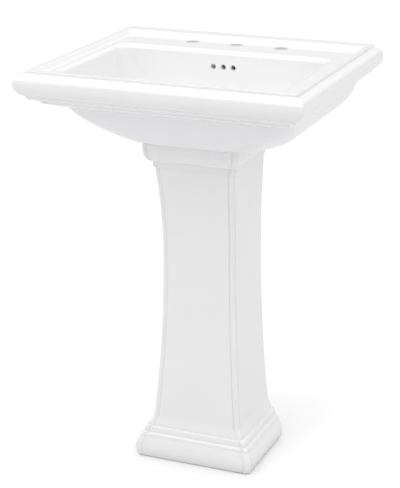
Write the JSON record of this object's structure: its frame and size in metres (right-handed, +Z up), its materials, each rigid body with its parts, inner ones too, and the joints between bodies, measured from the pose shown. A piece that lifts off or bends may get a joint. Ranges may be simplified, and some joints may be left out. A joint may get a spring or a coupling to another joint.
{
  "type": "pedestal sink",
  "caption": "Square-edged china basin with a moulded rim on a hollow moulded pedestal, with push-type drain and P-trap.",
  "frame": {"origin": "on the floor, under the middle of the basin's width and depth", "axes": "+Z up, -Y to the front, +Y to the wall, X across"},
  "size_m": [0.61, 0.516, 0.886],
  "materials": {
    "china": "gloss white glaze",
    "chrome": "polished plate",
    "brass": "machined",
    "rubber": "matt black",
    "plastic": "moulded",
    "spring_steel": "drawn wire"
  },
  "bodies": {
    "fixture": {"basin": "china", "pedestal": "china", "pedestal_pads": "rubber", "drain_body": "chrome", "drain_flange_seal": "rubber", "drain_bevel_gasket": "rubber", "drain_friction_washer": "plastic", "drain_locknut": "brass", "tailpiece": "chrome", "tailpiece_seal": "rubber", "stopper_cartridge": "plastic", "stopper_spring": "spring_steel", "trap_j_bend": "chrome", "trap_inlet_nut": "chrome", "trap_inlet_washer": "plastic", "trap_union_nut": "chrome", "trap_union_washer": "plastic", "trap_arm": "chrome", "cleanout_plug": "brass", "cleanout_washer": "rubber", "wall_escutcheon": "chrome"},
    "stopper": {"stopper_cap": "chrome", "stopper_seal": "rubber", "stopper_stem": "brass"}
  },
  "joints": [
    {"name": "stopper_press", "type": "slide", "parent": "fixture", "child": "stopper", "axis": [0, 0, -1], "range_m": [0, 0.008], "stiffness_N_per_m": 300, "springref_m": -0.012, "deforming": ["stopper_spring"]}
  ]
}
